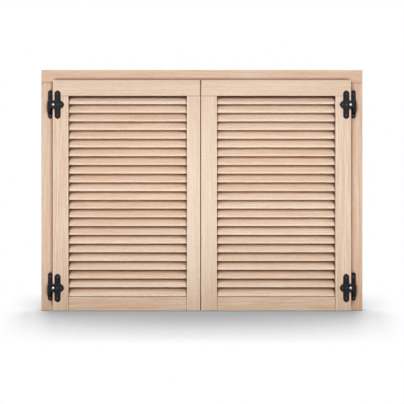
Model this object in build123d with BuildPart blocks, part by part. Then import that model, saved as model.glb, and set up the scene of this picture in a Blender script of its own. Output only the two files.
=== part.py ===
from build123d import *
import os
from math import acos, atan2, cos, hypot, radians, tan

# A pair of louvred timber shutter leaves, hung on lift-off pintle hinges in a three-sided frame.
# The front looks towards -Y and +Z is up. The origin is under the middle of the part, at its foot.
# Leaves and hinges are drawn to the right of the middle plane, and the left ones are mirrored.

os.makedirs("parts", exist_ok=True)

# Frame: a head that lies over two jambs, open at the sill
FRAME_WIDTH = 1200.0
FRAME_HEIGHT = 900.0
FRAME_DEPTH = 60.0
HEAD_FACE = 48.0
JAMB_FACE = 54.0
FRAME_ARRIS = 0.8
FRAME_TENON_LENGTH = 30.0
FRAME_TENON_WIDTH = 34.0
FRAME_TENON_THICKNESS = 18.0
FIXING_HOLE_RADIUS = 4.0
FIXING_HEAD_RADIUS = 8.0
FIXING_HEAD_DEPTH = 12.0
FIXING_SPACING = 600.0
FIXING_BACK_INSET = 19.0

# Leaves: a thick body inside the frame, with a lip that laps the frame's front
LEAF_THICKNESS = 40.0
LIP_THICKNESS = 18.0
LIP_SEAT_GAP = 1.0
SIDE_LAP = 8.0
TOP_LAP = 8.0
EDGE_GAP = 3.0
SILL_GAP = 1.0
STILE_FACE = 58.0
TOP_RAIL_FACE = 59.0
BOTTOM_RAIL_FACE = 55.0
LEAF_ARRIS = 0.8

# Meeting edges: off the middle, with a shadow groove on the left leaf and both edges eased behind
MEETING_OFFSET = 2.3
MEETING_GAP = 0.5
MEETING_RELIEF = 3.0
GROOVE_WIDTH = 3.6
GROOVE_DEPTH = 12.0

# Tenons of the leaves
LEAF_TENON_LENGTH = 30.0
LEAF_TENON_WIDTH = 20.0
LEAF_TENON_THICKNESS = 12.0
LEAF_TENON_INSET = 12.0
RAIL_TENON_HEIGHT = 34.0
TENON_FIT = 0.2

# Slats: fixed, sloping down to the front, each lapping the one below
SLAT_COUNT = 23
SLAT_THICKNESS = 6.5
SLAT_SETBACK = 3.0
SLAT_LAP = 3.6
SLAT_ARRIS = 0.6
SLAT_HOUSING = 8.0
SLAT_END_GAP = 0.3
SLAT_FIT = 0.15
LOWEST_NOSE_GAP = 0.8
HIGHEST_NOSE_DROP = 29.2

# Hinges: heights, axis and the cross-shaped strap with its eye
HINGE_TOP_DROP = 92.0
HINGE_FOOT_RISE = 86.0
HINGE_OFFSET = 13.0
STRAP_HEIGHT = 27.0
STRAP_THICKNESS = 6.0
STRAP_REACH = 54.5
STRAP_POINT = 11.3
STRAP_POINT_BULGE = 2.0
STRAP_POINT_BEVEL = 2.8
BAR_HEIGHT = 105.0
BAR_WIDTH = 21.5
BAR_PLACE = 31.0
BAR_THICKNESS = 4.0
BAR_EDGE = 1.6
BAR_BEVEL = 6.0
BAR_POINT = 9.0
BAR_POINT_BULGE = 1.8
EYE_RADIUS = 7.0
PIN_RADIUS = 4.0
PIN_FIT = 0.05
PIN_PROUD = 2.0
PIN_TIP_BEVEL = 1.5

# Pintle plate on the jamb, with the knuckle that carries the pin
PLATE_HEIGHT = 104.0
PLATE_WIDTH = 15.5
PLATE_THICKNESS = 4.0
PLATE_RAISE = 3.5
PLATE_BEVEL = 2.0
KNUCKLE_HEIGHT = 15.0
KNUCKLE_BEVEL = 2.0
KNUCKLE_GAP = 0.3
WEB_WIDTH = 9.0
WEB_DROP = 4.0

# Lock screw in the strap's round recess
LOCK_PLACE = 15.0
LOCK_RECESS_RADIUS = 9.6
LOCK_RECESS_DEPTH = 2.4
LOCK_HEAD_RADIUS = 4.6
LOCK_HEAD_EDGE = 0.8
LOCK_HEAD_HEIGHT = 2.2
LOCK_SHANK_RADIUS = 3.0

# Countersunk wood screws
SCREW_RISE = 40.0
STRAP_SCREW_PLACE = 31.0
POINT_SCREW_PLACE = 45.5
SCREW_HEAD_RADIUS = 3.6
SCREW_SHANK_RADIUS = 2.0
SCREW_LENGTH = 30.0
SCREW_POINT = 4.0
SCREW_ANGLE = 90.0
SCREW_FIT = 0.1

# Depths, from the straps' front to the frame's back
overall_depth = FRAME_DEPTH + LIP_SEAT_GAP + LIP_THICKNESS + STRAP_THICKNESS
frame_back = overall_depth / 2
frame_front = frame_back - FRAME_DEPTH
frame_middle = frame_back - FRAME_DEPTH / 2
lip_back = frame_front - LIP_SEAT_GAP
leaf_front = lip_back - LIP_THICKNESS
leaf_back = leaf_front + LEAF_THICKNESS
leaf_middle = leaf_front + LEAF_THICKNESS / 2
groove_floor = leaf_front + GROOVE_DEPTH
strap_front = leaf_front - STRAP_THICKNESS
bar_front = leaf_front - BAR_THICKNESS
plate_front = frame_front - PLATE_THICKNESS
axis_y = strap_front + EYE_RADIUS

# Places across, from the middle plane outwards
frame_edge = FRAME_WIDTH / 2
jamb_inner = frame_edge - JAMB_FACE
jamb_middle = frame_edge - JAMB_FACE / 2
leaf_edge = jamb_inner + SIDE_LAP
body_edge = jamb_inner - EDGE_GAP
stile_inner = leaf_edge - STILE_FACE
meeting_inner = STILE_FACE - MEETING_OFFSET
slat_start = meeting_inner - SLAT_HOUSING
slat_end = stile_inner + SLAT_HOUSING
axis_x = leaf_edge + HINGE_OFFSET

# Heights
head_under = FRAME_HEIGHT - HEAD_FACE
leaf_top = head_under + TOP_LAP
body_top = head_under - EDGE_GAP
rail_under = leaf_top - TOP_RAIL_FACE
rail_top = SILL_GAP + BOTTOM_RAIL_FACE
rail_middle = SILL_GAP + BOTTOM_RAIL_FACE / 2
hinge_heights = {"upper": leaf_top - HINGE_TOP_DROP, "lower": SILL_GAP + HINGE_FOOT_RISE}
knuckle_top = -STRAP_HEIGHT / 2 - KNUCKLE_GAP
knuckle_foot = knuckle_top - KNUCKLE_HEIGHT

# Slats: evenly spaced noses, and the slope that makes each one lap the next
lowest_nose = rail_top + LOWEST_NOSE_GAP
highest_nose = rail_under - HIGHEST_NOSE_DROP
slat_pitch = (highest_nose - lowest_nose) / (SLAT_COUNT - 1)
slat_front = leaf_front + SLAT_SETBACK
slat_depth = LEAF_THICKNESS - 2 * SLAT_SETBACK
slat_reach = slat_pitch + SLAT_LAP
slat_slope = acos(SLAT_THICKNESS / hypot(slat_reach, slat_depth)) - atan2(slat_depth, slat_reach)
slat_rise = slat_depth * tan(slat_slope)
nose_height = SLAT_THICKNESS / cos(slat_slope)
slat_places = [(slat_front, lowest_nose + slat_pitch * i) for i in range(SLAT_COUNT)]

# Plan of a leaf's two edges, in front-to-back and back-to-front order
hinge_edge = [(leaf_edge, leaf_front), (leaf_edge, lip_back), (body_edge, lip_back), (body_edge, leaf_back)]
right_face = -MEETING_OFFSET
right_meeting_edge = [
    (right_face + MEETING_RELIEF, leaf_back),
    (right_face, groove_floor),
    (right_face, leaf_front),
]
left_nose = MEETING_OFFSET + MEETING_GAP
left_meeting_edge = [
    (left_nose + MEETING_RELIEF, leaf_back),
    (left_nose, groove_floor),
    (left_nose + GROOVE_WIDTH, groove_floor),
    (left_nose + GROOVE_WIDTH, leaf_front),
]

# Screw places on one hinge, as (x, z) from the hinge's middle height
bar_screws = [(axis_x - STRAP_SCREW_PLACE, SCREW_RISE), (axis_x - STRAP_SCREW_PLACE, -SCREW_RISE)]
strap_screws = [(axis_x - STRAP_SCREW_PLACE, 0), (axis_x - POINT_SCREW_PLACE, 0)]
plate_screws = [(axis_x, SCREW_RISE), (axis_x, -SCREW_RISE)]
lock_place = (axis_x - LOCK_PLACE, 0)


def facing(depth):
    """Plane at a depth that looks out of the front: its x is X and its y is Z."""
    return Plane.XZ.offset(-depth)


def at_heights(places):
    """Places of one hinge, repeated at the heights of all hinges on a side."""
    return [(x, z + height) for height in hinge_heights.values() for x, z in places]


def wood_holes(front, places, grip):
    """Pilot holes in the part being built, for screws whose heads stand proud of its front by grip."""
    with Locations(facing(front)):
        with Locations(*places):
            Hole(SCREW_SHANK_RADIUS + SCREW_FIT, depth=SCREW_LENGTH - grip + SCREW_FIT)


def front_edges(piece):
    """Edges of the foremost flat face."""
    return piece.faces().sort_by(Axis.Y)[0].edges()


def slat_section(fit):
    """Section of a slat, lower front corner at the sketch's origin, grown all round by fit."""
    with BuildSketch(mode=Mode.PRIVATE) as section:
        with BuildLine():
            Polyline(
                (0, 0),
                (slat_depth, slat_rise),
                (slat_depth, slat_rise + nose_height),
                (0, nose_height),
                close=True,
            )
        make_face()
        chamfer(section.vertices(), SLAT_ARRIS)
        if fit:
            offset(amount=fit, kind=Kind.INTERSECTION)
    return section.sketch


slat_profile = slat_section(0)
slot_profile = slat_section(SLAT_FIT)


def make_frame_head():
    """Head of the frame, mortised from below for the jambs."""
    with BuildPart() as head:
        with BuildSketch(facing(frame_front)):
            with Locations((0, FRAME_HEIGHT - HEAD_FACE / 2)):
                Rectangle(FRAME_WIDTH, HEAD_FACE)
        extrude(amount=-FRAME_DEPTH)
        chamfer(front_edges(head), FRAME_ARRIS)
        with BuildSketch(Plane.XY.offset(head_under)):
            with Locations((-jamb_middle, frame_middle), (jamb_middle, frame_middle)):
                Rectangle(FRAME_TENON_WIDTH + 2 * TENON_FIT, FRAME_TENON_THICKNESS + 2 * TENON_FIT)
        extrude(amount=FRAME_TENON_LENGTH + TENON_FIT, mode=Mode.SUBTRACT)
    return head.part


def make_jamb():
    """Right jamb, with its stub tenon, fixing holes and the pilot holes of the pintle plates."""
    with BuildPart() as jamb:
        with BuildSketch():
            with Locations((jamb_middle, frame_middle)):
                Rectangle(JAMB_FACE, FRAME_DEPTH)
        extrude(amount=head_under)
        chamfer(front_edges(jamb), FRAME_ARRIS)
        with BuildSketch(Plane.XY.offset(head_under)):
            with Locations((jamb_middle, frame_middle)):
                Rectangle(FRAME_TENON_WIDTH, FRAME_TENON_THICKNESS)
        extrude(amount=FRAME_TENON_LENGTH)
        fixing_middle = (jamb_inner, frame_back - FIXING_BACK_INSET, FRAME_HEIGHT / 2)
        with Locations(Plane(fixing_middle, x_dir=(0, 0, 1), z_dir=(-1, 0, 0))):
            with Locations((-FIXING_SPACING / 2, 0), (FIXING_SPACING / 2, 0)):
                CounterBoreHole(FIXING_HOLE_RADIUS, FIXING_HEAD_RADIUS, FIXING_HEAD_DEPTH, JAMB_FACE)
        wood_holes(frame_front, at_heights(plate_screws), PLATE_THICKNESS)
    return jamb.part


def stile_tenon(inner, outwards):
    """Stub tenon at the head of the stile being built, set in from its inner face."""
    middle = inner + outwards * (LEAF_TENON_INSET + LEAF_TENON_WIDTH / 2)
    with BuildSketch(Plane.XY.offset(rail_under)) as tenon:
        with Locations((middle, leaf_middle)):
            Rectangle(LEAF_TENON_WIDTH, LEAF_TENON_THICKNESS)
    extrude(tenon.sketch, amount=LEAF_TENON_LENGTH)


def stile_housings(inner, outwards):
    """Slots for the slats' ends and the mortise for the bottom rail, cut into a stile's inner face."""
    with BuildSketch(Plane.YZ.offset(inner)) as slots:
        with Locations(*slat_places):
            add(slot_profile)
    extrude(slots.sketch, amount=outwards * (SLAT_HOUSING + SLAT_END_GAP), mode=Mode.SUBTRACT)
    with BuildSketch(Plane.YZ.offset(inner)) as mortise:
        with Locations((leaf_middle, rail_middle)):
            Rectangle(LEAF_TENON_THICKNESS + 2 * TENON_FIT, RAIL_TENON_HEIGHT + 2 * TENON_FIT)
    extrude(mortise.sketch, amount=outwards * (LEAF_TENON_LENGTH + TENON_FIT), mode=Mode.SUBTRACT)


def make_stile(plan, inner, outwards, screws):
    """Stile of a leaf from its plan outline. Outwards is the way from the slats into the stile."""
    with BuildPart() as stile:
        with BuildSketch(Plane.XY.offset(SILL_GAP)):
            with BuildLine():
                Polyline(*plan, close=True)
            make_face()
        extrude(amount=rail_under - SILL_GAP)
        chamfer(front_edges(stile), LEAF_ARRIS)
        stile_tenon(inner, outwards)
        stile_housings(inner, outwards)
        if screws:
            wood_holes(leaf_front, screws, BAR_THICKNESS)
    return stile.part


def make_top_rail(meeting_edge):
    """Top rail over both stiles, rebated behind its lip and grooved for the highest slat."""
    with BuildPart() as rail:
        with BuildSketch(Plane.XY.offset(rail_under)):
            with BuildLine():
                Polyline(*hinge_edge, *meeting_edge, close=True)
            make_face()
        extrude(amount=TOP_RAIL_FACE)
        chamfer(front_edges(rail), LEAF_ARRIS)
        with BuildSketch(Plane.YZ):
            with Locations((lip_back, body_top)):
                Rectangle(LEAF_THICKNESS, TOP_RAIL_FACE, align=(Align.MIN, Align.MIN))
        extrude(amount=FRAME_WIDTH, both=True, mode=Mode.SUBTRACT)
        tenon_set = LEAF_TENON_INSET + LEAF_TENON_WIDTH / 2
        with BuildSketch(Plane.XY.offset(rail_under)):
            with Locations((meeting_inner - tenon_set, leaf_middle), (stile_inner + tenon_set, leaf_middle)):
                Rectangle(LEAF_TENON_WIDTH + 2 * TENON_FIT, LEAF_TENON_THICKNESS + 2 * TENON_FIT)
        extrude(amount=LEAF_TENON_LENGTH + TENON_FIT, mode=Mode.SUBTRACT)
        with BuildSketch(Plane.YZ.offset(slat_start - SLAT_END_GAP)):
            with Locations(slat_places[-1]):
                add(slot_profile)
        extrude(amount=slat_end - slat_start + 2 * SLAT_END_GAP, mode=Mode.SUBTRACT)
        upper_screws = [(x, z) for x, z in at_heights(bar_screws) if z > rail_under]
        if upper_screws:
            wood_holes(leaf_front, upper_screws, BAR_THICKNESS)
    return rail.part


def make_bottom_rail():
    """Bottom rail between the stiles, tenoned into both."""
    with BuildPart() as rail:
        with BuildSketch(Plane.YZ.offset(meeting_inner)):
            with Locations((leaf_middle, rail_middle)):
                Rectangle(LEAF_THICKNESS, BOTTOM_RAIL_FACE)
        extrude(amount=stile_inner - meeting_inner)
        chamfer(front_edges(rail), LEAF_ARRIS)
        with BuildSketch(Plane.YZ.offset(meeting_inner - LEAF_TENON_LENGTH)):
            with Locations((leaf_middle, rail_middle)):
                Rectangle(LEAF_TENON_THICKNESS, RAIL_TENON_HEIGHT)
        extrude(amount=stile_inner - meeting_inner + 2 * LEAF_TENON_LENGTH)
    return rail.part


def make_slats():
    """All slats of a leaf, housed at both ends in the stiles."""
    with BuildPart() as slats:
        with BuildSketch(Plane.YZ.offset(slat_start)):
            with Locations(*slat_places):
                add(slat_profile)
        extrude(amount=slat_end - slat_start)
    return slats.part


def bar_outline(depth, inset):
    """Upright bar of a strap, with blunt points, drawn at a depth and drawn in by inset."""
    half_width = BAR_WIDTH / 2 - inset
    half_height = BAR_HEIGHT / 2 - inset
    shoulder = BAR_HEIGHT / 2 - BAR_POINT
    middle = axis_x - BAR_PLACE
    bulge = BAR_POINT_BULGE * half_width / (BAR_WIDTH / 2)
    with BuildSketch(facing(depth)) as outline:
        with BuildLine():
            Line((middle + half_width, -shoulder), (middle + half_width, shoulder))
            SagittaArc((middle + half_width, shoulder), (middle, half_height), -bulge)
            SagittaArc((middle, half_height), (middle - half_width, shoulder), -bulge)
            Line((middle - half_width, shoulder), (middle - half_width, -shoulder))
            SagittaArc((middle - half_width, -shoulder), (middle, -half_height), -bulge)
            SagittaArc((middle, -half_height), (middle + half_width, -shoulder), -bulge)
        make_face()
    return outline.sketch


def strap_outline(depth, inset):
    """Level strap from the hinge axis to its blunt point, drawn at a depth, the point drawn in by inset."""
    tip = axis_x - STRAP_REACH + inset
    shoulder = tip + STRAP_POINT
    half_height = STRAP_HEIGHT / 2
    with BuildSketch(facing(depth)) as outline:
        with BuildLine():
            Polyline(
                (shoulder, half_height),
                (axis_x, half_height),
                (axis_x, -half_height),
                (shoulder, -half_height),
            )
            SagittaArc((shoulder, -half_height), (tip, 0), STRAP_POINT_BULGE)
            SagittaArc((tip, 0), (shoulder, half_height), STRAP_POINT_BULGE)
        make_face()
    return outline.sketch


def make_strap():
    """Right strap about its own middle height: bevelled bar, pointed strap, eye, recess and screw holes."""
    half_height = STRAP_HEIGHT / 2
    bevel_start = strap_front + STRAP_POINT_BEVEL
    with BuildPart() as strap:
        extrude(strap_outline(leaf_front, 0), amount=STRAP_THICKNESS - STRAP_POINT_BEVEL)
        loft([strap_outline(bevel_start, 0), strap_outline(strap_front, STRAP_POINT_BEVEL)], ruled=True)
        extrude(bar_outline(leaf_front, 0), amount=BAR_EDGE)
        loft([bar_outline(leaf_front - BAR_EDGE, 0), bar_outline(bar_front, BAR_BEVEL)], ruled=True)
        with BuildSketch(Plane.XY.offset(-half_height)):
            with Locations((axis_x, axis_y)):
                Circle(EYE_RADIUS)
        extrude(amount=STRAP_HEIGHT)
        with Locations((axis_x, axis_y, half_height)):
            Hole(PIN_RADIUS + PIN_FIT, depth=STRAP_HEIGHT)
        with Locations(facing(strap_front)):
            with Locations(lock_place):
                CounterBoreHole(LOCK_SHANK_RADIUS + SCREW_FIT, LOCK_RECESS_RADIUS, LOCK_RECESS_DEPTH,
                                STRAP_THICKNESS)
            with Locations(*strap_screws):
                CounterSinkHole(SCREW_SHANK_RADIUS + SCREW_FIT, SCREW_HEAD_RADIUS + SCREW_FIT,
                                STRAP_THICKNESS, SCREW_ANGLE)
        with Locations(facing(bar_front)):
            with Locations(*bar_screws):
                CounterSinkHole(SCREW_SHANK_RADIUS + SCREW_FIT, SCREW_HEAD_RADIUS + SCREW_FIT,
                                BAR_THICKNESS, SCREW_ANGLE)
    return strap.part


def make_pintle_plate():
    """Right pintle plate about its hinge's middle height: round-ended plate, web and bored knuckle."""
    with BuildPart() as plate:
        with BuildSketch(facing(frame_front)):
            with Locations((axis_x, PLATE_RAISE)):
                SlotOverall(PLATE_HEIGHT, PLATE_WIDTH, rotation=90)
        extrude(amount=PLATE_THICKNESS)
        chamfer(front_edges(plate), PLATE_BEVEL)
        with BuildSketch(Plane.YZ.offset(axis_x - WEB_WIDTH / 2)):
            with BuildLine():
                Polyline(
                    (frame_front, knuckle_top),
                    (axis_y, knuckle_top),
                    (axis_y, knuckle_foot + KNUCKLE_BEVEL),
                    (plate_front, knuckle_foot - WEB_DROP),
                    (frame_front, knuckle_foot - WEB_DROP),
                    close=True,
                )
            make_face()
        extrude(amount=WEB_WIDTH)
        with BuildSketch(Plane.YZ.offset(axis_x)):
            with BuildLine():
                Polyline(
                    (axis_y, knuckle_top),
                    (axis_y - EYE_RADIUS, knuckle_top),
                    (axis_y - EYE_RADIUS, knuckle_foot + KNUCKLE_BEVEL),
                    (axis_y - EYE_RADIUS + KNUCKLE_BEVEL, knuckle_foot),
                    (axis_y, knuckle_foot),
                    close=True,
                )
            make_face()
        revolve(axis=Axis((axis_x, axis_y, 0), (0, 0, 1)))
        with Locations((axis_x, axis_y, knuckle_top)):
            Hole(PIN_RADIUS + PIN_FIT, depth=KNUCKLE_HEIGHT)
        with Locations(facing(plate_front)):
            with Locations(*plate_screws):
                CounterSinkHole(SCREW_SHANK_RADIUS + SCREW_FIT, SCREW_HEAD_RADIUS + SCREW_FIT,
                                PLATE_THICKNESS, SCREW_ANGLE)
    return plate.part


def make_pin():
    """Right hinge pin about its hinge's middle height, flush below the knuckle and bevelled at its tip."""
    with BuildPart() as pin:
        with BuildSketch(Plane.XY.offset(knuckle_foot)):
            with Locations((axis_x, axis_y)):
                Circle(PIN_RADIUS)
        extrude(amount=STRAP_HEIGHT / 2 + PIN_PROUD - knuckle_foot)
        chamfer(pin.edges().sort_by(Axis.Z)[-1], PIN_TIP_BEVEL)
    return pin.part


def make_wood_screw():
    """Countersunk screw pointing along +Y, the middle of its head at the origin."""
    head_depth = (SCREW_HEAD_RADIUS - SCREW_SHANK_RADIUS) / tan(radians(SCREW_ANGLE / 2))
    with BuildPart() as screw:
        with BuildSketch():
            with BuildLine():
                Polyline(
                    (0, 0),
                    (SCREW_HEAD_RADIUS, 0),
                    (SCREW_SHANK_RADIUS, head_depth),
                    (SCREW_SHANK_RADIUS, SCREW_LENGTH - SCREW_POINT),
                    (0, SCREW_LENGTH),
                    close=True,
                )
            make_face()
        revolve(axis=Axis.Y)
    return screw.part


def make_lock_screw():
    """Round-headed lock screw along +Y, the middle of its head's seat at the origin."""
    with BuildPart() as screw:
        with BuildSketch():
            with BuildLine():
                Line((0, STRAP_THICKNESS - LOCK_RECESS_DEPTH), (0, -LOCK_HEAD_HEIGHT))
                ThreePointArc(
                    (0, -LOCK_HEAD_HEIGHT),
                    (LOCK_HEAD_RADIUS / 2, -LOCK_HEAD_HEIGHT + (LOCK_HEAD_HEIGHT - LOCK_HEAD_EDGE) / 4),
                    (LOCK_HEAD_RADIUS, -LOCK_HEAD_EDGE),
                )
                Polyline(
                    (LOCK_HEAD_RADIUS, -LOCK_HEAD_EDGE),
                    (LOCK_HEAD_RADIUS, 0),
                    (LOCK_SHANK_RADIUS, 0),
                    (LOCK_SHANK_RADIUS, STRAP_THICKNESS - LOCK_RECESS_DEPTH),
                    (0, STRAP_THICKNESS - LOCK_RECESS_DEPTH),
                )
            make_face()
        revolve(axis=Axis.Y)
    return screw.part


def copies(solid, places):
    """Copies of a solid at several places, as one group."""
    with BuildPart() as group:
        with Locations(*places):
            add(solid)
    return group.part


def mirrored(solid):
    """The left-hand twin of a right-hand piece."""
    with BuildPart() as twin:
        mirror(solid, about=Plane.YZ)
    return twin.part


def save(name, solid):
    """Label a finished piece and write it out."""
    solid.label = name
    export_step(solid, f"parts/{name}.step")


def in_depth(depth, places):
    """Front-view places set at a depth."""
    return [(x, depth, z) for x, z in places]


save("frame_head", make_frame_head())
jamb = make_jamb()
save("right_jamb", jamb)
save("left_jamb", mirrored(jamb))

# Wood of the leaves
stile_screws = [(x, z) for x, z in at_heights(bar_screws + strap_screws) if z < rail_under]
hinge_plan = hinge_edge + [(stile_inner, leaf_back), (stile_inner, leaf_front)]
hinge_stile = make_stile(hinge_plan, stile_inner, 1, stile_screws)
bottom_rail = make_bottom_rail()
slats = make_slats()
leaf_pieces = {"hinge_stile": hinge_stile, "bottom_rail": bottom_rail, "slats": slats}
for name, piece in leaf_pieces.items():
    save(f"right_{name}", piece)
    save(f"left_{name}", mirrored(piece))
inner_edge = [(meeting_inner, leaf_front), (meeting_inner, leaf_back)]
save("right_meeting_stile", make_stile(inner_edge + right_meeting_edge, meeting_inner, -1, []))
save("left_meeting_stile", mirrored(make_stile(inner_edge + left_meeting_edge, meeting_inner, -1, [])))
save("right_top_rail", make_top_rail(right_meeting_edge))
save("left_top_rail", mirrored(make_top_rail(left_meeting_edge)))

# Hinges
hinge_pieces = {"strap": make_strap(), "pintle_plate": make_pintle_plate(), "hinge_pin": make_pin()}
for level, height in hinge_heights.items():
    for name, piece in hinge_pieces.items():
        raised = copies(piece, [(0, 0, height)])
        save(f"right_{level}_{name}", raised)
        save(f"left_{level}_{name}", mirrored(raised))

# Screws
wood_screw = make_wood_screw()
lock_screws = copies(make_lock_screw(), in_depth(strap_front + LOCK_RECESS_DEPTH, at_heights([lock_place])))
strap_screw_places = in_depth(bar_front, at_heights(bar_screws))
strap_screw_places += in_depth(strap_front, at_heights(strap_screws))
screw_groups = {
    "lock_screws": lock_screws,
    "strap_screws": copies(wood_screw, strap_screw_places),
    "plate_screws": copies(wood_screw, in_depth(plate_front, at_heights(plate_screws))),
}
for name, group in screw_groups.items():
    save(f"right_{name}", group)
    save(f"left_{name}", mirrored(group))
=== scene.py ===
"""Timber, hinge and screw finishes for a pair of louvred shutters in their frame, on a plain stage."""
import math
from typing import NamedTuple

import bmesh
import bpy
from bpy.props import FloatProperty, FloatVectorProperty, PointerProperty
from mathutils import Matrix, Vector


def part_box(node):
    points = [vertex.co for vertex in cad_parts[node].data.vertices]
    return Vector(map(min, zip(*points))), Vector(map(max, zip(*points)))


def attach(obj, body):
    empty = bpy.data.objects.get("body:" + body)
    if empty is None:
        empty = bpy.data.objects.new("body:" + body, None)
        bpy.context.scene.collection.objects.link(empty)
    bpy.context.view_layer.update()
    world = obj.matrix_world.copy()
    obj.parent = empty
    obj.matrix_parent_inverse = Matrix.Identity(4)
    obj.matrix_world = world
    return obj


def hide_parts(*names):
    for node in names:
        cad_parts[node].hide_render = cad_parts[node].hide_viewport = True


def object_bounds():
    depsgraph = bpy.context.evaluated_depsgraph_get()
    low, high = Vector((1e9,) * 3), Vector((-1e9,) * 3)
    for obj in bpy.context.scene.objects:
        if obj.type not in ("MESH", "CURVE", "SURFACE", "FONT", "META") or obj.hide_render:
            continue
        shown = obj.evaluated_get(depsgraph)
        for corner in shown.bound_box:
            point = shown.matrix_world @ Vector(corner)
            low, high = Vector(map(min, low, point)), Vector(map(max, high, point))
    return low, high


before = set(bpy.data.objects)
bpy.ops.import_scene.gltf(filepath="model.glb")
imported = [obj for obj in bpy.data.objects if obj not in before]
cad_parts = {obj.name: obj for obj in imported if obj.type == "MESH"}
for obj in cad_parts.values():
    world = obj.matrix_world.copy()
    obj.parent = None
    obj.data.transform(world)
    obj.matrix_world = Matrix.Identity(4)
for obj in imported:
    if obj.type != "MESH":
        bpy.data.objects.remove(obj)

bl_info = {
    "name": "Louvred Shutter Pair",
    "version": (1, 0, 0),
    "blender": (4, 5, 0),
    "location": "3D View > Sidebar > Shutter",
    "description": "Dresses a pair of louvred timber shutters, their frame and their pintle hinges",
    "category": "Object",
}

CAD_BOX = [list(corner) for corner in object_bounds()]
SIDES = ("left", "right")
HINGES = ("upper", "lower")

WHITE = (1.0, 1.0, 1.0, 1.0)
BLACK = (0.0, 0.0, 0.0, 1.0)
VALUE = "NodeSocketFloat"
VECTOR = "NodeSocketVector"

# The part's axes in a board's own order: along it, across it and into it
UPRIGHT = (2, 0, 1)
ACROSS = (0, 2, 1)

# Sides of a board that a joint may be at: the place in that order, and the way
JOINT_SIDES = {"start": (0, -1.0), "finish": (0, 1.0), "low": (1, -1.0), "high": (1, 1.0)}
JOINT_FACE = 0.0005

# Step in the log from one seed's cut to the next
LOG_STEP = (1.73, 0.61, 0.37)

# Waves of grain in a metre along, across and into a board
WANDER_WAVES = (1.4, 8.0, 8.0)
TREMBLE_WAVES = (7.0, 40.0, 40.0)
LINE_WAVES = (6.0, 280.0, 280.0)
FIBRE_WAVES = (36.0, 430.0, 430.0)
PORE_WAVES = (130.0, 300.0, 300.0)
MOTTLE_WAVES = (2.6, 14.0, 14.0)
BAND_WAVES_ALONG = 0.9
BAND_WAVES_OUT = 95.0

# Parts of each noise that are drawn, and the shares that they are mixed in
TREMBLE_SHARE = 0.08
SEASON_POWER = 3.0
FAINTEST_YEAR = 0.2
STREAK_RANGE = (0.28, 0.72)
LINE_RANGE = (0.4, 0.58)
FIBRE_SHARE = 0.55
PORE_SHARE = 0.45
FIBRE_RELIEF = 0.6
LATE_RELIEF = 0.4

# How the grain shows in the finish
LATE_SHARE = 0.5
END_SHARE = 0.5
MOTTLE_SHARE = 0.16
MOTTLE_RANGE = (0.25, 0.75)
FIBRE_RANGE = (0.34, 0.66)
FIBRE_LIGHT = (1.06, 1.06, 1.06, 1.0)
ROUGH_RANGE = (0.2, 0.8)
WOOD_ROUGHNESS = (0.5, 0.68)
WOOD_GLOSS = 0.3
WOOD_BUMP = {"Strength": 0.25, "Distance": 0.0004}
END_LEAN = (0.75, 0.95)

# Share of open sky at which a painted shade is full, and at which it ends, for slats from the top down
CORNER_SKY = {"Shut": 0.55, "Free": 0.86}
HOLLOW_SHUT = (0.1, 0.2)
HOLLOW_FREE = (0.37, 0.66)

# Share of the sky that the floor hides right above it, the rays that look for the sky,
# and the part of a board's depth behind which its corners have no painted shade
FLOOR_SHARE = 0.5
SHADE_RAYS = 16
REAR_SHARE = 0.2

# How each leaf's slats are cut from their log
SLAT_SEEDS = (31.0, 67.0)
SLAT_PITH = (0.0, 0.02, -0.035)
SLAT_CUTS = (12.0, 0.05, 0.02)
SLAT_START = 0.35
# Faces and heights of a slat's front edge that get the painted highlight
NOSE_HIGHLIGHT_LEAN = (-0.99, -0.9)
NOSE_HIGHLIGHT_HEIGHT = (0.0035, 0.0065)

# Waves of the coated metal in a metre
PEEL_WAVES = (1500.0, 1500.0, 1500.0)
BLOTCH_WAVES = (110.0, 110.0, 110.0)
BLOTCH_RANGE = (0.32, 0.68)
PEEL_STRENGTH = 0.4
DULL_PLATING = 0.94
DULL_SCREW = 0.6

# Wood screws, as shares of the head's radius, the neck's radius or the screw's length
HEAD_RINGS = 5
HEAD_RIM = 0.3
HEAD_DEPTH = 0.55
NECK = 0.5
PLAIN_SHANK = 0.3
THREADED_SHANK = 0.6
THREADS = 9
THREAD_CREST = 1.12
THREAD_ROOT = 0.8
SCREW_SEGMENTS = 28
SCREW_TURN = 37.0
SHARP_ANGLE = 32.0
RECESS_MOUTH = 1.15
RECESS_FOOT = 0.45

# Studio: the sky from front to back and from the horizon up, the lamps, and the floor's painted shade
SKY_TURN = 0.35
SKY_RISE = 0.7
SOFTBOX_SIZE = (3.2, 0.8)
FRONT_SOFTBOX_PLACE = (0.0, -3.45, 1.47)
BACK_SOFTBOX_PLACE = (0.0, 3.45, 0.5)
FLOOR_SIZE = 40.0
FLOOR_DROP = 0.0005
SHADE_LEAN = 0.6
SHADE_RISE = 0.8
SHADE_SKY = (0.25, 0.94)
SHADE_POWER = 2.47
SHADE_DARK = 0.4
SHADE_DULL = 0.1
SHADE_SLANT = 0.2
FADE_BESIDE = (-0.03, 0.03, 0.4)
FADE_BEYOND = (0.06, 0.15, 0.6)


def tone(red, green, blue):
    """A scene colour from 0 to 255 values as a colour card gives them."""
    steps = [value / 255.0 for value in (red, green, blue)]
    return tuple(s / 12.92 if s <= 0.04045 else ((s + 0.055) / 1.055) ** 2.4 for s in steps)


def colour_property(name, description, default):
    """A colour that a user may change."""
    return FloatVectorProperty(
        name=name, description=description, subtype="COLOR", size=3, min=0.0, max=1.0, default=default
    )


def length_property(name, description, default):
    """A length in metres that a user may change."""
    return FloatProperty(
        name=name, description=description, unit="LENGTH", min=0.0, precision=5, default=default
    )


def strength_property(name, description, default):
    """A strength that a user may change."""
    return FloatProperty(
        name=name, description=description, subtype="FACTOR", min=0.0, max=2.0, default=default
    )


def power_property(name, description, default):
    """A lamp's power in watts that a user may change."""
    return FloatProperty(name=name, description=description, subtype="POWER", min=0.0, default=default)


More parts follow.
